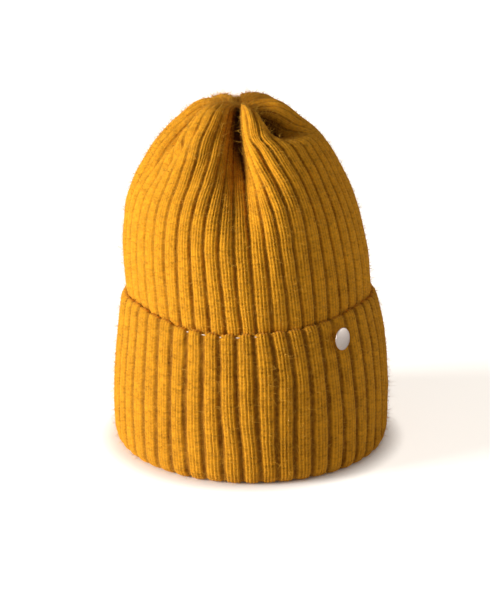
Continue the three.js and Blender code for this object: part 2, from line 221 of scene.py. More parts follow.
# The cuff's middle outside surface, from under the crown round the fold at the floor to inside the hem
CUFF_SECTIONS = [
    dict(z=0.0038, radius=0.0745, knit=0.0),
    dict(z=0.0032, radius=0.0728, knit=0.2),
    dict(z=0.0012, radius=0.0731, knit=0.4),
    dict(z=0.0003, radius=0.0752, knit=0.3),
    dict(z=0.0007, radius=0.0780, knit=0.4),
    dict(z=0.0030, radius=0.0806, knit=0.8),
    dict(z=0.0090, radius=0.0822, knit=1.0),
    dict(z=0.0250, radius=0.0826, knit=1.0),
    dict(z=0.0440, radius=0.0819, knit=1.0),
    dict(z=0.0660, radius=0.0797, knit=1.0),
    dict(z=0.0814, radius=0.0772, knit=1.0),
    dict(z=0.0885, radius=0.0757, knit=0.9),
    dict(z=0.0908, radius=0.0741, knit=0.6),
    dict(z=0.0898, radius=0.0725, knit=0.4),
    dict(z=0.0850, radius=0.0728, knit=0.3),
]
CUFF_PHASE_HEM = -5.6
CUFF_PHASE_FLOOR = -3.9
# An even painted shade over the whole cuff
CUFF_SHADE = 0.14

# Hairs that stand off the knit, then the finer down that lies on it. Rise is how steeply they stand.
FIBRES = [
    dict(count=30000, length=0.0040, least_rise=0.45, width=0.00014),
    dict(count=50000, length=0.0020, least_rise=0.05, width=0.00010),
]
FIBRE_CORNERS = 5
FIBRE_CLEARANCE = 0.0002
FIBRE_ROOT = 0.0001
FIBRE_EDGE_ROWS = 6
FIBRE_THINNING = 1.6
LENGTH_EVENNESS = 4
LONGEST_FIBRE = 2
BLADE = dict(lean=0.6, droop=0.5, curl=0.25, taper=0.8)

# Ends of a pale thread that show in the cuff's valleys, at its top edge
THREAD_ENDS = [
    dict(rib=-3, half_length=0.0007),
    dict(rib=-2, half_length=0.0012),
    dict(rib=-1, half_length=0.0006),
    dict(rib=0, half_length=0.0011),
    dict(rib=1, half_length=0.0007),
]
THREAD_RADIUS = 0.00028
THREAD_SIDES = 8
THREAD_RINGS = 9
THREAD_TIP = 1.02
THREAD_PLACE = dict(radius=0.0757, z=0.0902, turn=1)

# Badge: its edge from the back to the front, then a low dome. It presses the knit in.
BADGE_RADIUS = 0.00645
BADGE_EDGE = [
    dict(inset=0.0004, height=0.0),
    dict(inset=0.0, height=0.00015),
    dict(inset=0.0, height=0.00045),
    dict(inset=0.00012, height=0.00062),
    dict(inset=0.0004, height=0.00072),
]
BADGE_DOME = 0.00065
BADGE_DOME_RINGS = (0.9, 0.75, 0.6, 0.45, 0.3, 0.15, 0.0)
BADGE_SIDES = 96
BADGE_WELD = 1e-6
BADGE_AZIMUTH = 41
BADGE_FACING = 50.5
BADGE_TILT = 7
BADGE_HEIGHT = 0.0814
BADGE_BACK_RADIUS = 0.0800
BADGE_PRESS_REACH = 0.0085
BADGE_PRESS_DEPTH = 0.0008

# The wool's own light colour, and the colour that it is mixed towards for painted shade in its valleys,
# stitch holes, wale gaps and folds and for its random darker tone, with how strong and how sharp that painted
# shade is
WOOL_LIGHT = (0.92, 0.405, 0.017, 1)
WOOL_SHADE_AND_DARK_TONE = (0.09, 0.018, 0.0005, 1)
VALLEY_SHADE = 0.2
GROOVE_SHADE = 1.1
GROOVE_SHARPNESS = 1.5

# The camera looks at a point on the hat's axis
CAMERA_TARGET = Vector((0, 0, 0.1))
CAMERA_DISTANCE = 1.0
CAMERA_ELEVATION = 17
CAMERA_SENSOR = 36
CAMERA_LENS = 98.06
CAMERA_SHIFT = (-6 / 612, -29.5 / 612)

# Soft lights, the fill from all round, and the pale floor, which glows evenly to the camera but dims close to
# the hat in a painted contact shadow
SUNS = [
    dict(name="left softbox", azimuth=-74, elevation=17, strength=4.6, angle=24),
    dict(name="right fill", azimuth=96, elevation=20, strength=0.7, angle=26),
    dict(name="front fill", azimuth=-35, elevation=10, strength=0.7, angle=60),
]
SUN_COLOUR = (1.0, 0.985, 0.96)
WORLD_COLOUR = (1, 0.93, 0.82, 1)
WORLD_SIDES = 0.31
WORLD_TOP = 0.02
WORLD_TOP_FROM = 0.8
BACKDROP_STRENGTH = 1.2
FLOOR_SIZE = 12
FLOOR_COLOUR = (0.86, 0.8471, 0.8299, 1)
FLOOR_GLOW = 0.8
FLOOR_GLOW_COLOUR = (1, 0.94, 0.87, 1)
FLOOR_SHADE_REACH = 0.014
FLOOR_SHADE_POWER = 2

SEED = 11


# Node and material helpers

def add_node(nodes, kind, values=None):
    """A new node with some of its inputs set."""
    node = nodes.new(kind)
    for socket, value in (values or {}).items():
        node.inputs[socket].default_value = value
    return node


def math_node(nodes, links, operation, first, second):
    node = nodes.new("ShaderNodeMath")
    node.operation = operation
    for socket, value in zip(node.inputs, (first, second)):
        if isinstance(value, (int, float)):
            socket.default_value = value
        else:
            links.new(value, socket)
    return node.outputs[0]


def colour_mix(nodes, links, share, first, second):
    """A colour between two others; each of them is a colour or a socket."""
    mix = nodes.new("ShaderNodeMix")
    mix.data_type = "RGBA"
    links.new(share, mix.inputs["Factor"])
    for socket, colour in (("A", first), ("B", second)):
        if isinstance(colour, tuple):
            mix.inputs[socket].default_value = colour
        else:
            links.new(colour, mix.inputs[socket])
    return mix.outputs["Result"]


def add_bump(nodes, links, shader, height, strength, distance):
    bump = add_node(nodes, "ShaderNodeBump", {"Strength": strength, "Distance": distance})
    links.new(height, bump.inputs["Height"])
    links.new(bump.outputs["Normal"], shader.inputs["Normal"])


def new_material(name, values):
    """A material with some of its shader's inputs set."""
    material = bpy.data.materials.new(name)
    material.use_nodes = True
    nodes, links = material.node_tree.nodes, material.node_tree.links
    shader = nodes["Principled BSDF"]
    for socket, value in values.items():
        shader.inputs[socket].default_value = value
    return material, nodes, links, shader


def new_group(name, inlets, outlets):
    """An empty node group; each inlet has a kind and a value, each outlet a kind."""
    group = bpy.data.node_groups.new(name, "ShaderNodeTree")
    for socket, (kind, value) in inlets.items():
        group.interface.new_socket(socket, in_out="INPUT", socket_type=kind).default_value = value
    for socket, kind in outlets.items():
        group.interface.new_socket(socket, in_out="OUTPUT", socket_type=kind)
    return group, group.nodes, group.links


# Camera, light and floor

def direction(azimuth, elevation):
    turn, rise = math.radians(azimuth), math.radians(elevation)
    return Vector((math.sin(turn) * math.cos(rise), -math.cos(turn) * math.cos(rise), math.sin(rise)))


def make_camera():
    camera = bpy.data.objects.new("camera", bpy.data.cameras.new("camera"))
    bpy.context.scene.collection.objects.link(camera)
    back = direction(0, CAMERA_ELEVATION)
    camera.location = CAMERA_TARGET + back * CAMERA_DISTANCE
    camera.rotation_euler = (-back).to_track_quat("-Z", "Y").to_euler()
    camera.data.sensor_width = CAMERA_SENSOR
    camera.data.lens = CAMERA_LENS
    camera.data.shift_x, camera.data.shift_y = CAMERA_SHIFT
    bpy.context.scene.camera = camera


def make_suns():
    for sun in SUNS:
        light = bpy.data.objects.new(sun["name"], bpy.data.lights.new(sun["name"], "SUN"))
        bpy.context.scene.collection.objects.link(light)
        light.data.energy = sun["strength"]
        light.data.angle = math.radians(sun["angle"])
        light.data.color = SUN_COLOUR
        towards = direction(sun["azimuth"], sun["elevation"])
        light.rotation_euler = towards.to_track_quat("Z", "Y").to_euler()


def make_world():
    """Soft fill that is stronger from the sides than from above, in front of a white backdrop."""
    world = bpy.data.worlds.new("studio")
    bpy.context.scene.world = world
    world.use_nodes = True
    nodes, links = world.node_tree.nodes, world.node_tree.links
    nodes.clear()
    path = nodes.new("ShaderNodeLightPath")
    where = nodes.new("ShaderNodeTexCoord")
    split = nodes.new("ShaderNodeSeparateXYZ")
    links.new(where.outputs["Generated"], split.inputs["Vector"])
    span = {"From Min": 0, "From Max": WORLD_TOP_FROM, "To Min": WORLD_SIDES, "To Max": WORLD_TOP}
    falloff = add_node(nodes, "ShaderNodeMapRange", span)
    links.new(split.outputs["Z"], falloff.inputs["Value"])
    fill = add_node(nodes, "ShaderNodeBackground", {"Color": WORLD_COLOUR})
    links.new(falloff.outputs["Result"], fill.inputs["Strength"])
    backdrop = add_node(nodes, "ShaderNodeBackground", {"Strength": BACKDROP_STRENGTH})
    mix = nodes.new("ShaderNodeMixShader")
    out = nodes.new("ShaderNodeOutputWorld")
    links.new(path.outputs["Is Camera Ray"], mix.inputs["Fac"])
    links.new(fill.outputs["Background"], mix.inputs[1])
    links.new(backdrop.outputs["Background"], mix.inputs[2])
    links.new(mix.outputs["Shader"], out.inputs["Surface"])


def make_floor():
    half = FLOOR_SIZE / 2
    corners = [(-half, -half, 0), (half, -half, 0), (half, half, 0), (-half, half, 0)]
    mesh = bpy.data.meshes.new("floor")
    mesh.from_pydata(corners, [], [(0, 1, 2, 3)])
    floor = bpy.data.objects.new("floor", mesh)
    bpy.context.scene.collection.objects.link(floor)
    finish = {
        "Base Color": FLOOR_COLOUR,
        "Roughness": 1,
        "Specular IOR Level": 0,
        "Emission Color": FLOOR_GLOW_COLOUR,
    }
    material, nodes, links, shader = new_material("pale floor", finish)
    path = nodes.new("ShaderNodeLightPath")
    glow = math_node(nodes, links, "MULTIPLY", path.outputs["Is Camera Ray"], FLOOR_GLOW)
    # The glow dims close to the hat: a painted contact shadow
    near = add_node(nodes, "ShaderNodeAmbientOcclusion", {"Distance": FLOOR_SHADE_REACH})
    shade = math_node(nodes, links, "POWER", near.outputs["AO"], FLOOR_SHADE_POWER)
    strength = math_node(nodes, links, "MULTIPLY", glow, shade)
    links.new(strength, shader.inputs["Emission Strength"])
    mesh.materials.append(material)


# Places round the hat

def smoothstep(value, low, high):
    t = np.clip((value - low) / (high - low), 0, 1)
    return t * t * (3 - 2 * t)


def between(ends, share):
    return ends[0] + (ends[1] - ends[0]) * share


def wrap_degrees(angle):
    return (angle + 180) % 360 - 180


def closed_round(grid):
    """A grid with its first column once more at its end."""
    return np.concatenate([grid, grid[:, :1]], axis=1)


def column(table, name):
    return np.array([row[name] for row in table], float)


def curve_through(values, places):
    """A smooth curve through the rows of a table; a place is a row number with its fraction."""
    padded = np.concatenate([[2 * values[0] - values[1]], values, [2 * values[-1] - values[-2]]])
    index = np.clip(np.floor(places).astype(int), 0, len(values) - 2)
    t = places - index
    a, b, c, d = (padded[index + k] for k in range(4))
    square, cube = 2 * a - 5 * b + 4 * c - d, 3 * b - a - 3 * c + d
    return 0.5 * (2 * b + (c - a) * t + square * t**2 + cube * t**3)


def even_places(table, first, last, step):
    """Row places that are an equal length apart along a table's profile, and that profile's length."""
    fine = np.linspace(first, last, PROFILE_STEPS)
    profile = np.stack([curve_through(column(table, name), fine) for name in ("radius", "z")], -1)
    lengths = np.concatenate([[0], np.cumsum(np.linalg.norm(np.diff(profile, axis=0), axis=1))])
    rows = int(round(lengths[-1] / step)) + 1
    return np.interp(np.linspace(0, lengths[-1], rows), lengths, fine), lengths[-1]


def lean_at(z):
    return -LEAN * smoothstep(z, LEAN_START, LEAN_END)


def hem_rise(azimuth):
    angles, heights = column(HEM_EDGE, "azimuth"), column(HEM_EDGE, "height")
    wrapped = wrap_degrees(azimuth)
    upper = np.clip(np.searchsorted(angles, wrapped), 1, len(angles) - 1)
    t = smoothstep(wrapped, angles[upper - 1], angles[upper])
    return heights[upper - 1] * (1 - t) + heights[upper] * t - HEM_HEIGHT


def with_hem(z, azimuth):
    below = smoothstep(z, 0, HEM_HEIGHT)
    above = 1 - smoothstep(z, HEM_HEIGHT, HEM_FADE)
    return z + hem_rise(azimuth) * np.where(z < HEM_HEIGHT, below, above)


def place_around(radius, azimuth, z):
    angle = np.radians(azimuth)
    x = lean_at(z) + radius * np.sin(angle)
    return np.stack([x, -radius * np.cos(angle), with_hem(z, azimuth)], -1)


# Crown's middle surface

def fold_line(fold, z):
    return fold["low"] + (fold["high"] - fold["low"]) * smoothstep(z, FOLD_LINE_START, FOLD_LINE_END)


def fold_share(fold, azimuth, state):
    """How far inside a fold a place is, from 0 outside to 1 on its line."""
    away = wrap_degrees(azimuth - fold_line(fold, state["z"]))
    width = np.where(away < 0, fold["before"], fold["after"] * state["slope"]) * state["spread"]
    return 1 / (1 + (np.abs(away) / width) ** fold["edge"])


def fold_depth(fold, state):
    name = fold["name"] if fold["name"] in ("front", "right") else "other"
    return state[name] * fold["depth"]


def fold_sink(fold, state):
    return state["pocket" if fold["name"] == "right" else "drop"] * fold["sink"]


def crease_depth(crease, azimuth, state):
    along = np.clip((state["z"] - crease["low"]) / (crease["high"] - crease["low"]), 0, 1)
    middle = crease["low_azimuth"] + (crease["high_azimuth"] - crease["low_azimuth"]) * along
    away = wrap_degrees(azimuth - middle) / crease["width"]
    reach = np.sin(np.pi * along) * np.clip(state["radius"] / CREASE_RADIUS, 0, 1)
    return crease["depth"] * reach * np.exp(-away * away)


def crown_points(state, azimuth):
    radius = state["radius"] + 0 * azimuth
    sink = 0 * azimuth
    for fold in FOLDS:
        share = fold_share(fold, azimuth, state)
        radius = radius * (1 - fold_depth(fold, state) * share)
        sink = np.maximum(sink, fold_sink(fold, state) * share)
    for crease in CREASES:
        radius = radius - crease_depth(crease, azimuth, state)
    points = place_around(radius, azimuth, state["z"] + 0 * azimuth)
    points[..., 2] -= sink
    return points


def in_folds(state, azimuth):
    shares = [fold_depth(fold, state) * fold_share(fold, azimuth, state) for fold in FOLDS]
    return np.max(shares, axis=0)


def crown_state(places):
    """Every value of the crown's two tables at some row places."""
    state = {}
    for table in (CROWN_SECTIONS, FOLD_DEPTHS):
        for name in table[0]:
            state[name] = curve_through(column(table, name), places)[:, None]
    return state


def crown_azimuths(state, ribs):
    """Azimuths of the columns: between two folds the ribs share the knit's length, and run into the folds."""
    starts = [fold_line(fold, state["z"]) for fold in FOLDS]
    ends = starts[1:] + [starts[0] + 360]
    part = np.arange(ARC_STEPS) / ARC_STEPS
    dense = np.concatenate([a + (b - a) * part for a, b in zip(starts, ends)] + [ends[-1]], axis=1)
    lengths = np.linalg.norm(np.diff(crown_points(state, dense), axis=1), axis=2)
    right_wall = wrap_degrees(dense - starts[0]) > 0
    gather = np.where(right_wall, RIGHT_GATHER, 1) * state["gather"] * fold_share(FRONT_FOLD, dense, state)
    loss = POCKET_LOSS * state["right"] * fold_share(RIGHT_FOLD, dense, state)
    lengths *= ((1 + gather) * (1 - loss))[:, 1:]
    first_ribs = column(FOLDS, "rib")
    rib_counts = np.diff(np.append(first_ribs, RIBS))
    azimuths = np.empty((len(dense), ribs.shape[-1]))
    for row in range(len(dense)):
        sectors = lengths[row].reshape(len(FOLDS), ARC_STEPS)
        shares = np.cumsum(sectors, axis=1) / sectors.sum(axis=1, keepdims=True)
        count = (shares * rib_counts[:, None] + first_ribs[:, None]).ravel()
        azimuths[row] = np.interp(ribs[row], np.concatenate([[0], count]), dense[row])
    return azimuths


def crown_painted_fold_shade(state, azimuths):
    """Painted shade at each place in the folds, most of all in the front one and in the pocket."""
    inside = in_folds(state, azimuths)
    from_front = wrap_degrees(azimuths - fold_line(FRONT_FOLD, state["z"]) + LEFT_FLANK)
    flank = smoothstep(inside, *FRONT_SHADE["left_flank"])
    elsewhere = smoothstep(inside, *FRONT_SHADE["elsewhere"])
    folds = FRONT_SHADE["most"] * np.where(np.abs(from_front) < LEFT_FLANK, flank, elsewhere)
    shaded = dict(RIGHT_FOLD, after=POCKET_SHADE["width"])
    pocket = state["right"] * fold_share(shaded, azimuths, state)
    return np.maximum(folds, POCKET_SHADE["most"] * smoothstep(pocket, *POCKET_SHADE["inside"]))


# Knit relief

def rib_columns(knit):
    """Places of the mesh columns across one rib, from the middle of one valley to the next."""
    edge = (1 - knit) / 2
    raised = np.linspace(edge, 1 - edge, WALES * QUADS_PER_WALE + 1)
    return np.concatenate([[0, edge / 2], raised, [1 - edge / 2]])


def knit_columns(knit):
    return (np.arange(RIBS)[:, None] + rib_columns(knit)[None, :]).ravel()


def rib_profile(across, knit):
    """Height across a rib without its stitches: a low dome with a narrow valley on either side."""
    away = np.abs(across - 0.5) / (knit / 2)
    dome = RIB_RISE * (1 - np.clip(away, 0, 1) ** RIB_ROUNDNESS)
    fall = smoothstep(away, 1, 1 / knit)
    return dome * (1 - fall) - RIB_SINK * fall


def wale_place(ribs, knit):
    """Place across the wales of a rib, in wales, and whether it is on the raised part."""
    across = ribs % 1
    return (across - (1 - knit) / 2) / knit * WALES, np.abs(across - 0.5) <= knit / 2 + TINY_SHARE


def smooth_noise(rng, ribs, along, waves, rib_cycles, length):
    """A smooth field over the knit from a few random waves, between about -1 and 1."""
    total = 0
    for _ in range(waves):
        cycles = rng.integers(-rib_cycles, rib_cycles + 1)
        pace = rng.uniform(*WAVE_PACES) * 2 * np.pi / length
        start = rng.uniform(0, 2 * np.pi)
        total = total + np.sin(2 * np.pi * cycles * ribs / RIBS + pace * along + start)
    return total / math.sqrt(waves)


def wandering(rng, layer, ribs, along):
    """How far the ribs stray sideways, in pitches."""
    drift = RIB_DRIFT * smooth_noise(rng, ribs[None, :], along, **DRIFT_WAVES)
    return drift + layer["wobble"] * smooth_noise(rng, ribs[None, :], along, **WOBBLE_WAVES)


def stitch_noise(rng, rows, columns_per_rib):
    """One random value for each stitch, spread over the rows and columns that make it."""
    values = rng.uniform(0, 1, (rows // ROWS_PER_COURSE + 2, RIBS * WALES))
    course = (np.arange(rows) + ROWS_PER_COURSE // 2) // ROWS_PER_COURSE
    rib, across = np.divmod(np.arange(RIBS * columns_per_rib), columns_per_rib)
    wale = np.clip((across - VALLEY_COLUMNS) // QUADS_PER_WALE, 0, WALES - 1)
    return values[course[:, None], (rib * WALES + wale)[None, :]]


def knit_relief(rng, layer, ribs, along):
    """Height of the ribs and of the stitches on them, how deep every vertex lies, and its painted shade and
    tone.
    """
    wale, in_knit = wale_place(ribs, layer["knit"])
    phase = wale % 1
    leg = np.where(in_knit, 0.5 - 0.5 * np.cos(4 * np.pi * phase), 0)
    centre = np.where(in_knit, np.clip(1 - 4 * np.abs(phase - 0.5), 0, 1), 0)
    beat = np.cos(2 * np.pi * np.arange(len(ribs))[:, None] / ROWS_PER_COURSE)
    loose = stitch_noise(rng, ribs.shape[0], ribs.shape[1] // RIBS)
    swell = 1 + RIB_SWELL * smooth_noise(rng, ribs, along, **SWELL_WAVES)
    height = rib_profile(ribs % 1, layer["knit"]) * swell
    gap = np.where(in_knit, WALE_GROOVE * (leg - 0.5) * between(LOOSE_GAP, loose), 0)
    lift = STITCH_LIFT["over"] + STITCH_LIFT["leg"] * leg + STITCH_LIFT["centre"] * centre
    lift = np.where(in_knit, lift, STITCH_LIFT["valley"]) * between(LOOSE_RELIEF, loose)
    jitter = rng.normal(0, YARN_JITTER, height.shape)
    depth = np.clip((RIB_RISE - height) / (RIB_RISE + RIB_SINK), 0, 1)
    slack = SLACK["mean"] + SLACK["change"] * smooth_noise(rng, ribs, along, **SLACK_WAVES)
    slack = np.clip(slack, SLACK["least"], SLACK["most"])
    # Painted shade in the stitch holes, the wale gaps and the valleys, with a random darker tone for loose
    # stitches
    shade_and_tone = (STITCH_SHADE["hole"] + STITCH_SHADE["hole_beat"] * beat) * centre * between(LOOSE_HOLE, loose)
    shade_and_tone = shade_and_tone + STITCH_SHADE["gap"] * (1 - leg) * (1 - centre) * slack
    shade_and_tone = shade_and_tone + STITCH_SHADE["leg_beat"] * leg * (1 + beat) + STITCH_SHADE["loose"] * loose
    groove_shade_and_tone = np.clip(np.where(in_knit, shade_and_tone, layer["valley"]), 0, 1)
    return height, gap + STITCH_RELIEF * beat * lift + jitter, depth, groove_shade_and_tone


def chevron(ribs, knit):
    """How many rows each column of a stitch is ahead of its middle, which makes the V shapes."""
    wale, in_knit = wale_place(ribs, knit)
    return np.where(in_knit, np.abs(2 * (wale % 1) - 1), 0.5) * ROWS_PER_COURSE / 2


def stretched(azimuths, layer):
    """How much of the ribs is left where they are stretched smooth."""
    away = wrap_degrees(azimuths - SMOOTH_AZIMUTH) / SMOOTH_WIDTH
    return 1 - layer["smoothing"] * np.exp(-(away**2))


# Meshes

def grid_normals(points):
    """Outward directions on a grid that closes round the hat."""
    around = np.roll(points, -1, axis=1) - np.roll(points, 1, axis=1)
    normals = np.cross(around, np.gradient(points, axis=0))
    return normals / np.maximum(np.linalg.norm(normals, axis=2, keepdims=True), TINY_LENGTH)


def shift_rows(points, ahead):
    """Moves each column ahead along the knit by a share of a row."""
    step = np.diff(points, axis=0, append=2 * points[-1:] - points[-2:-1])
    return points + step * ahead[None, :, None]


def mesh_from_grid(name, points, fields, uv):
    """A smooth mesh from rows and columns of points, with named values and a map in metres."""
    rows, columns = points.shape[:2]
    corner = np.arange(rows * columns).reshape(rows, columns)
    quads = np.stack([corner[:-1, :-1], corner[:-1, 1:], corner[1:, 1:], corner[1:, :-1]], -1)
    quads = quads.reshape(-1, 4)
    mesh = bpy.data.meshes.new(name)
    mesh.vertices.add(rows * columns)
    mesh.vertices.foreach_set("co", points.reshape(-1).astype(np.float32))
    mesh.loops.add(quads.size)
    mesh.loops.foreach_set("vertex_index", quads.reshape(-1).astype(np.int32))
    mesh.polygons.add(len(quads))
    mesh.polygons.foreach_set("loop_start", np.arange(0, quads.size, 4, dtype=np.int32))
    mesh.polygons.foreach_set("use_smooth", np.ones(len(quads), bool))
    for field, values in fields.items():
        layer = mesh.attributes.new(field, "FLOAT", "POINT")
        layer.data.foreach_set("value", values.reshape(-1).astype(np.float32))
    flat = uv.reshape(-1, 2)[quads.reshape(-1)]
    mesh.uv_layers.new(name="knit").data.foreach_set("uv", flat.reshape(-1).astype(np.float32))
    mesh.update(calc_edges=True)
    mesh.validate()
    return mesh


def mesh_from_faces(name, vertices, faces):
    mesh = bpy.data.meshes.new(name)
    mesh.from_pydata(vertices, [], faces)
    mesh.polygons.foreach_set("use_smooth", np.ones(len(mesh.polygons), bool))
    mesh.validate()
    return mesh


def add_piece(name, mesh, material, nodes=()):
    """Adds a piece of the hat, with its finish and the solids that it stands for."""
    mesh.materials.append(material)
    piece = bpy.data.objects.new(name, mesh)
    bpy.context.scene.collection.objects.link(piece)
    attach(piece, "root")
    if nodes:
        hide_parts(*nodes)
    return piece


# Crown and cuff

def dress_in_knit(rng, layer, surface, ribs, along, amount, painted_shade, material):
    """Raises ribs and stitches on a grid of middle points, and adds it in parts that meet in valleys.

    Amount is how far the ribs stand out, and the next argument is the painted shade on the surface before its
    stitches.
    The ground that it hands back is where the loose fibres grow.
    """
    height, fine, depth, groove_shade_and_tone = knit_relief(rng, layer, ribs[None, :] + 0 * along, along)
    relief = height * amount + fine * np.clip(amount + LEAST_RELIEF, 0, 1)
    points = shift_rows(surface + grid_normals(surface) * relief[..., None], chevron(ribs, layer["knit"]))
    # On flat ribs the painted stitch shade fades towards its mean; the painted fold shade on the crown, and
    # the even painted shade on the cuff, then darken it further
    groove_shade_and_tone = MEAN_GROOVE + (groove_shade_and_tone - MEAN_GROOVE) * np.clip(amount + LEAST_SHADE, 0, 1)
    groove_shade_and_tone = 1 - (1 - groove_shade_and_tone) * (1 - painted_shade)
    around = np.append(ribs, ribs[0] + RIBS)
    uv = np.stack(np.broadcast_arrays(around[None, :] * RIB_WIDTH, along), -1)
    fields = {"depth": closed_round(depth), "groove_shade_and_tone": closed_round(groove_shade_and_tone)}
    width = len(ribs) // KNIT_PARTS
    for number in range(KNIT_PARTS):
        part = slice(number * width, (number + 1) * width + 1)
        name = f"{layer['name']}_knit_{number + 1}"
        own_fields = {field: values[:, part] for field, values in fields.items()}
        mesh = mesh_from_grid(name, closed_round(points)[:, part], own_fields, uv[:, part])
        add_piece(name, mesh, material, [layer["name"]])
    name = f"{layer['name']}_fibres"
    return dict(name=name, points=points, normals=grid_normals(points), groove_shade_and_tone=groove_shade_and_tone)


def make_crown(material):
    rng = np.random.default_rng(SEED)
    ribs = knit_columns(CROWN_LAYER["knit"])
    last = len(CROWN_SECTIONS) - 1
    places, length = even_places(CROWN_SECTIONS, FIRST_SHOWN_SECTION, last, COURSE / ROWS_PER_COURSE)
    along = np.linspace(0, length, len(places))[:, None]
    state = crown_state(places)
    wander = wandering(rng, CROWN_LAYER, ribs, along) * np.clip(state["radius"] / CALM_RADIUS, 0, 1)
    azimuths = crown_azimuths(state, ribs[None, :] + wander)
    surface = crown_points(state, azimuths)
    next_rib = np.roll(surface, -len(ribs) // RIBS, axis=1)
    rib_width = np.linalg.norm(next_rib - surface, axis=2)
    amount = (1 - FOLD_RIB_LOSS * in_folds(state, azimuths)) * np.clip(rib_width / FULL_RIB_WIDTH, 0, 1)
    amount = amount * stretched(azimuths, CROWN_LAYER)
    # Painted shade in the folds, which darkens their depths and the right fold's pocket
    painted_shade = crown_painted_fold_shade(state, azimuths)
    return dress_in_knit(rng, CROWN_LAYER, surface, ribs, along, amount, painted_shade, material)


def make_cuff(material):
    rng = np.random.default_rng(SEED + 1)
    ribs = knit_columns(CUFF_LAYER["knit"])
    places, length = even_places(CUFF_SECTIONS, 0, len(CUFF_SECTIONS) - 1, COURSE / ROWS_PER_COURSE)
    along = np.linspace(0, length, len(places))[:, None]
    z, radius, amount = (
        curve_through(column(CUFF_SECTIONS, name), places)[:, None] for name in ("z", "radius", "knit")
    )
    phase = CUFF_PHASE_FLOOR + (CUFF_PHASE_HEM - CUFF_PHASE_FLOOR) * z / HEM_HEIGHT
    azimuths = phase + (ribs[None, :] + wandering(rng, CUFF_LAYER, ribs, along)) * RIB_PITCH
    arc = np.radians(wrap_degrees(azimuths - BADGE_AZIMUTH)) * BADGE_BACK_RADIUS
    pressed = np.exp(-(arc**2 + (z - BADGE_HEIGHT) ** 2) / BADGE_PRESS_REACH**2)
    amount = amount * stretched(azimuths, CUFF_LAYER) * (1 - pressed)
    surface = place_around(radius - BADGE_PRESS_DEPTH * pressed, azimuths, z + 0 * azimuths)
    return dress_in_knit(rng, CUFF_LAYER, surface, ribs, along, amount, CUFF_SHADE, material)


def make_inside(material):
    """The crown's ribbed inside, from the fold at the floor to the gathered top."""
    ribs = np.arange(RIBS * INSIDE_COLUMNS) / INSIDE_COLUMNS
    places, _ = even_places(CROWN_SECTIONS, 0, INSIDE_LAST_SECTION, INSIDE_ROW)
    state = crown_state(places)
    azimuths = crown_azimuths(state, np.tile(ribs, (len(places), 1)))
    surface = crown_points(state, azimuths)
    height = rib_profile(ribs % 1, CROWN_LAYER["knit"])[None, :] * INSIDE_RIBS
    inner = surface + grid_normals(surface) * (height - WALL + RIB_RISE)[..., None]
    top = np.array([-LEAN, 0, INSIDE_TOP])
    shares = np.array(INSIDE_CLOSING)[:, None, None]
    inner = np.concatenate([inner, inner[-1:] * (1 - shares) + top * shares])
    inner = closed_round(inner)[:, ::-1]
    size = inner.shape[:2]
    fields = {"depth": np.full(size, INSIDE_DEPTH), "groove_shade_and_tone": np.full(size, INSIDE_GROOVE)}
    across = np.append(ribs, RIBS)[None, :] * RIB_WIDTH
    up = np.arange(size[0])[:, None] * INSIDE_ROW
    uv = np.stack(np.broadcast_arrays(across, up), -1)
    mesh = mesh_from_grid("crown_inside", inner, fields, uv)
    add_piece("crown_inside", mesh, material, ["crown"])


# Loose fibres

def scatter_fibres(rng, ground, kind, count):
    """Corners of bent blades, each a quad and a tip, at random places and thinner in the grooves."""
    points, groove_shade_and_tone = ground["points"], ground["groove_shade_and_tone"]
    row = rng.integers(FIBRE_EDGE_ROWS, points.shape[0] - FIBRE_EDGE_ROWS, count)
    col = rng.integers(0, points.shape[1], count)
    outside = rng.uniform(0, 1, count) > FIBRE_THINNING * (groove_shade_and_tone[row, col] - MEAN_GROOVE)
    row, col, count = row[outside], col[outside], int(outside.sum())
    normal = ground["normals"][row, col]
    lean = rng.normal(0, 1, (count, 3))
    lean -= (lean * normal).sum(1, keepdims=True) * normal
    lean /= np.linalg.norm(lean, axis=1, keepdims=True)
    length = rng.gamma(LENGTH_EVENNESS, kind["length"] / LENGTH_EVENNESS, count)
    half = np.minimum(length, kind["length"] * LONGEST_FIBRE)[:, None] / 2
    rise = normal * rng.uniform(kind["least_rise"], 1.0, (count, 1))
    root = points[row, col] - normal * FIBRE_ROOT
    middle = root + (rise + lean * BLADE["lean"]) * half
    tip = middle + (rise * BLADE["droop"] + lean + rng.normal(0, BLADE["curl"], (count, 3))) * half
    side = np.cross(lean, normal) * kind["width"] / 2
    bend = side * BLADE["taper"]
    blades = np.stack([root - side, root + side, middle + bend, middle - bend, tip], 1)
    return blades[blades[..., 2].min(axis=1) > FIBRE_CLEARANCE]


def make_fibres(material, grounds):
    rng = np.random.default_rng(SEED + 2)
    total = sum(ground["groove_shade_and_tone"].size for ground in grounds)
    for ground in grounds:
        part = ground["groove_shade_and_tone"].size / total
        blades = np.concatenate(
            [scatter_fibres(rng, ground, kind, int(kind["count"] * part)) for kind in FIBRES]
        )
        base = np.arange(len(blades))[:, None] * FIBRE_CORNERS
        faces = (base + np.array([0, 1, 2, 3])).tolist() + (base + np.array([3, 2, 4])).tolist()
        mesh = mesh_from_faces(ground["name"], blades.reshape(-1, 3).tolist(), faces)
        add_piece(ground["name"], mesh, material)


# Pale thread

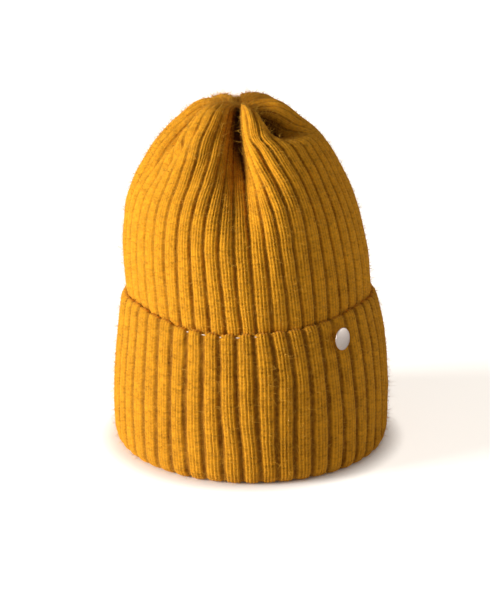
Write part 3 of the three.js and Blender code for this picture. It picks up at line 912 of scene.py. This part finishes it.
def make_thread(material):
    vertices, faces = [], []
    for end in THREAD_ENDS:
        azimuth = CUFF_PHASE_HEM + end["rib"] * RIB_PITCH + THREAD_PLACE["turn"]
        middle = place_around(THREAD_PLACE["radius"], np.array(azimuth), np.array(THREAD_PLACE["z"]))
        turn = math.radians(azimuth)
        along = np.array([math.cos(turn), math.sin(turn), 0])
        out = np.array([math.sin(turn), -math.cos(turn), 0])
        first = len(vertices)
        for share in np.linspace(-1, 1, THREAD_RINGS):
            thick = THREAD_RADIUS * math.sqrt(THREAD_TIP - share**2)
            for side in np.arange(THREAD_SIDES) * 2 * np.pi / THREAD_SIDES:
                offset = out * math.cos(side) + np.array([0, 0, math.sin(side)])
                vertices.append((middle + along * end["half_length"] * share + offset * thick).tolist())
        for ring in range(THREAD_RINGS - 1):
            a = first + ring * THREAD_SIDES
            b = a + THREAD_SIDES
            for side in range(THREAD_SIDES):
                nxt = (side + 1) % THREAD_SIDES
                faces.append((a + side, b + side, b + nxt, a + nxt))
        faces.append(tuple(range(first, first + THREAD_SIDES)))
        faces.append(tuple(reversed(range(len(vertices) - THREAD_SIDES, len(vertices)))))
    add_piece("pale_thread", mesh_from_faces("pale_thread", vertices, faces), material)


# Badge

def badge_matrix():
    front = direction(BADGE_FACING, BADGE_TILT)
    side = Vector((0, 0, 1)).cross(front).normalized()
    up = front.cross(side)
    at = math.radians(BADGE_AZIMUTH)
    x = float(lean_at(np.array(BADGE_HEIGHT))) + BADGE_BACK_RADIUS * math.sin(at)
    place = Vector((x, -BADGE_BACK_RADIUS * math.cos(at), BADGE_HEIGHT))
    return Matrix.Translation(place) @ Matrix((side, up, front)).transposed().to_4x4()


def badge_outline():
    """Radius and height of every ring, from the middle of the back over the edge to the top of the dome."""
    edge = [(BADGE_RADIUS - ring["inset"], ring["height"]) for ring in BADGE_EDGE]
    rim, shoulder = edge[-1]
    dome = [(rim * share, shoulder + BADGE_DOME * (1 - share**2)) for share in BADGE_DOME_RINGS]
    return [(0.0, 0.0)] + edge + dome


def make_badge(material):
    outline = badge_outline()
    place = badge_matrix()
    vertices, faces = [], []
    for radius, height in outline:
        for side in range(BADGE_SIDES):
            turn = 2 * math.pi * side / BADGE_SIDES
            vertices.append(place @ Vector((radius * math.cos(turn), radius * math.sin(turn), height)))
    for ring in range(len(outline) - 1):
        a, b = ring * BADGE_SIDES, (ring + 1) * BADGE_SIDES
        for side in range(BADGE_SIDES):
            nxt = (side + 1) % BADGE_SIDES
            faces.append((a + side, a + nxt, b + nxt, b + side))
    mesh = mesh_from_faces("badge_disc", vertices, faces)
    piece = add_piece("badge_disc", mesh, material, ["badge"])
    piece.modifiers.new("weld", "WELD").merge_threshold = BADGE_WELD


# Finishes

def make_yarn_group():
    """Fibres twisted along the yarn: a height for the bump and a shade for the colour."""
    inlets = {"Fineness": ("NodeSocketFloat", 1.0)}
    outlets = {"Height": "NodeSocketFloat", "Shade": "NodeSocketFloat"}
    group, nodes, links = new_group("yarn fibres", inlets, outlets)
    inlet, outlet = nodes.new("NodeGroupInput"), nodes.new("NodeGroupOutput")
    where = nodes.new("ShaderNodeUVMap")
    where.uv_map = "knit"
    stretch = add_node(nodes, "ShaderNodeMapping", {"Scale": (9000, 2400, 1)})
    links.new(where.outputs["UV"], stretch.inputs["Vector"])
    fibre = add_node(nodes, "ShaderNodeTexNoise", {"Detail": 2})
    links.new(stretch.outputs["Vector"], fibre.inputs["Vector"])
    links.new(inlet.outputs["Fineness"], fibre.inputs["Scale"])
    place = nodes.new("ShaderNodeTexCoord")
    tuft = add_node(nodes, "ShaderNodeTexNoise", {"Scale": 420, "Detail": 3})
    links.new(place.outputs["Object"], tuft.inputs["Vector"])
    both = math_node(nodes, links, "ADD", fibre.outputs["Fac"], tuft.outputs["Fac"])
    shade = math_node(nodes, links, "MULTIPLY", both, 0.5)
    links.new(fibre.outputs["Fac"], outlet.inputs["Height"])
    links.new(shade, outlet.inputs["Shade"])
    return group


def make_tone_group():
    """Two tones that run into each other over the surface, as fine along each axis as the stretch says."""
    inlets = {
        "Stretch": ("NodeSocketVector", (1, 1, 1)),
        "Detail": ("NodeSocketFloat", 2),
        "Deep tone": ("NodeSocketColor", (0, 0, 0, 1)),
        "Light tone": ("NodeSocketColor", (1, 1, 1, 1)),
    }
    outlets = {"Tone": "NodeSocketColor", "Shade": "NodeSocketFloat"}
    group, nodes, links = new_group("mottled tone", inlets, outlets)
    inlet, outlet = nodes.new("NodeGroupInput"), nodes.new("NodeGroupOutput")
    place = nodes.new("ShaderNodeTexCoord")
    stretch = nodes.new("ShaderNodeMapping")
    links.new(place.outputs["Object"], stretch.inputs["Vector"])
    links.new(inlet.outputs["Stretch"], stretch.inputs["Scale"])
    mottle = add_node(nodes, "ShaderNodeTexNoise", {"Scale": 1})
    links.new(stretch.outputs["Vector"], mottle.inputs["Vector"])
    links.new(inlet.outputs["Detail"], mottle.inputs["Detail"])
    deep, light = inlet.outputs["Deep tone"], inlet.outputs["Light tone"]
    tone = colour_mix(nodes, links, mottle.outputs["Fac"], deep, light)
    links.new(tone, outlet.inputs["Tone"])
    links.new(mottle.outputs["Fac"], outlet.inputs["Shade"])
    return group


def add_tone(nodes, links, shader, group, values):
    """Colours a shader with the mottled tone, and hands back its shade."""
    tone = nodes.new("ShaderNodeGroup")
    tone.node_tree = group
    for socket, value in values.items():
        tone.inputs[socket].default_value = value
    links.new(tone.outputs["Tone"], shader.inputs["Base Color"])
    return tone.outputs["Shade"]


def make_wool(yarn):
    finish = {
        "Roughness": 0.95,
        "Specular IOR Level": 0.15,
        "Sheen Weight": 0.14,
        "Sheen Roughness": 0.5,
        "Sheen Tint": (1.0, 0.72, 0.3, 1),
    }
    material, nodes, links, shader = new_material("brushed wool", finish)
    fibres = nodes.new("ShaderNodeGroup")
    fibres.node_tree = yarn
    depth = nodes.new("ShaderNodeAttribute")
    depth.attribute_name = "depth"
    groove_shade_and_tone = nodes.new("ShaderNodeAttribute")
    groove_shade_and_tone.attribute_name = "groove_shade_and_tone"
    # Painted shade in the valleys by depth, and in stitch holes, wale gaps and folds by the stitch values,
    # which also hold a random tone; the yarn fibres add their own random tone
    sunk = math_node(nodes, links, "MULTIPLY", depth.outputs["Fac"], VALLEY_SHADE)
    sharp = math_node(nodes, links, "POWER", groove_shade_and_tone.outputs["Fac"], GROOVE_SHARPNESS)
    cut = math_node(nodes, links, "MULTIPLY", sharp, GROOVE_SHADE)
    shade = math_node(nodes, links, "SUBTRACT", 0.5, fibres.outputs["Shade"])
    shade_and_tone = math_node(nodes, links, "ADD", math_node(nodes, links, "ADD", sunk, cut), shade)
    links.new(colour_mix(nodes, links, shade_and_tone, WOOL_LIGHT, WOOL_SHADE_AND_DARK_TONE), shader.inputs["Base Color"])
    add_bump(nodes, links, shader, fibres.outputs["Height"], strength=0.5, distance=0.00015)
    return material


def make_fibre_wool(tones):
    finish = {"Roughness": 0.9, "Specular IOR Level": 0.2}
    material, nodes, links, shader = new_material("loose wool fibre", finish)
    add_tone(nodes, links, shader, tones, {
        "Stretch": (700, 700, 700),
        "Deep tone": (0.44, 0.19, 0.01, 1),
        "Light tone": (0.80, 0.44, 0.06, 1),
    })
    return material


def make_pale_thread(tones):
    material, nodes, links, shader = new_material("pale thread", {"Roughness": 0.8})
    add_tone(nodes, links, shader, tones, {
        "Stretch": (2500, 2500, 2500),
        "Deep tone": (0.66, 0.58, 0.46, 1),
        "Light tone": (0.92, 0.88, 0.80, 1),
    })
    return material


def make_badge_metal(tones):
    material, nodes, links, shader = new_material("satin silver", {"Metallic": 1})
    brush = add_tone(nodes, links, shader, tones, {
        "Stretch": (9000, 9000, 600),
        "Detail": 3,
        "Deep tone": (0.66, 0.58, 0.54, 1),
        "Light tone": (0.92, 0.83, 0.79, 1),
    })
    rough = add_node(nodes, "ShaderNodeMapRange", {"To Min": 0.38, "To Max": 0.62})
    links.new(brush, rough.inputs["Value"])
    links.new(rough.outputs["Result"], shader.inputs["Roughness"])
    add_bump(nodes, links, shader, brush, strength=0.25, distance=0.00002)
    return material


# The whole hat

bpy.context.scene.view_settings.view_transform = "Standard"
make_camera()
make_suns()
make_world()
make_floor()
tones = make_tone_group()
wool = make_wool(make_yarn_group())
metal = make_badge_metal(tones)
grounds = [make_crown(wool), make_cuff(wool)]
make_inside(wool)
make_fibres(make_fibre_wool(tones), grounds)
make_thread(make_pale_thread(tones))
make_badge(metal)
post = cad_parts["badge_post"]
post.data.materials.clear()
post.data.materials.append(metal)
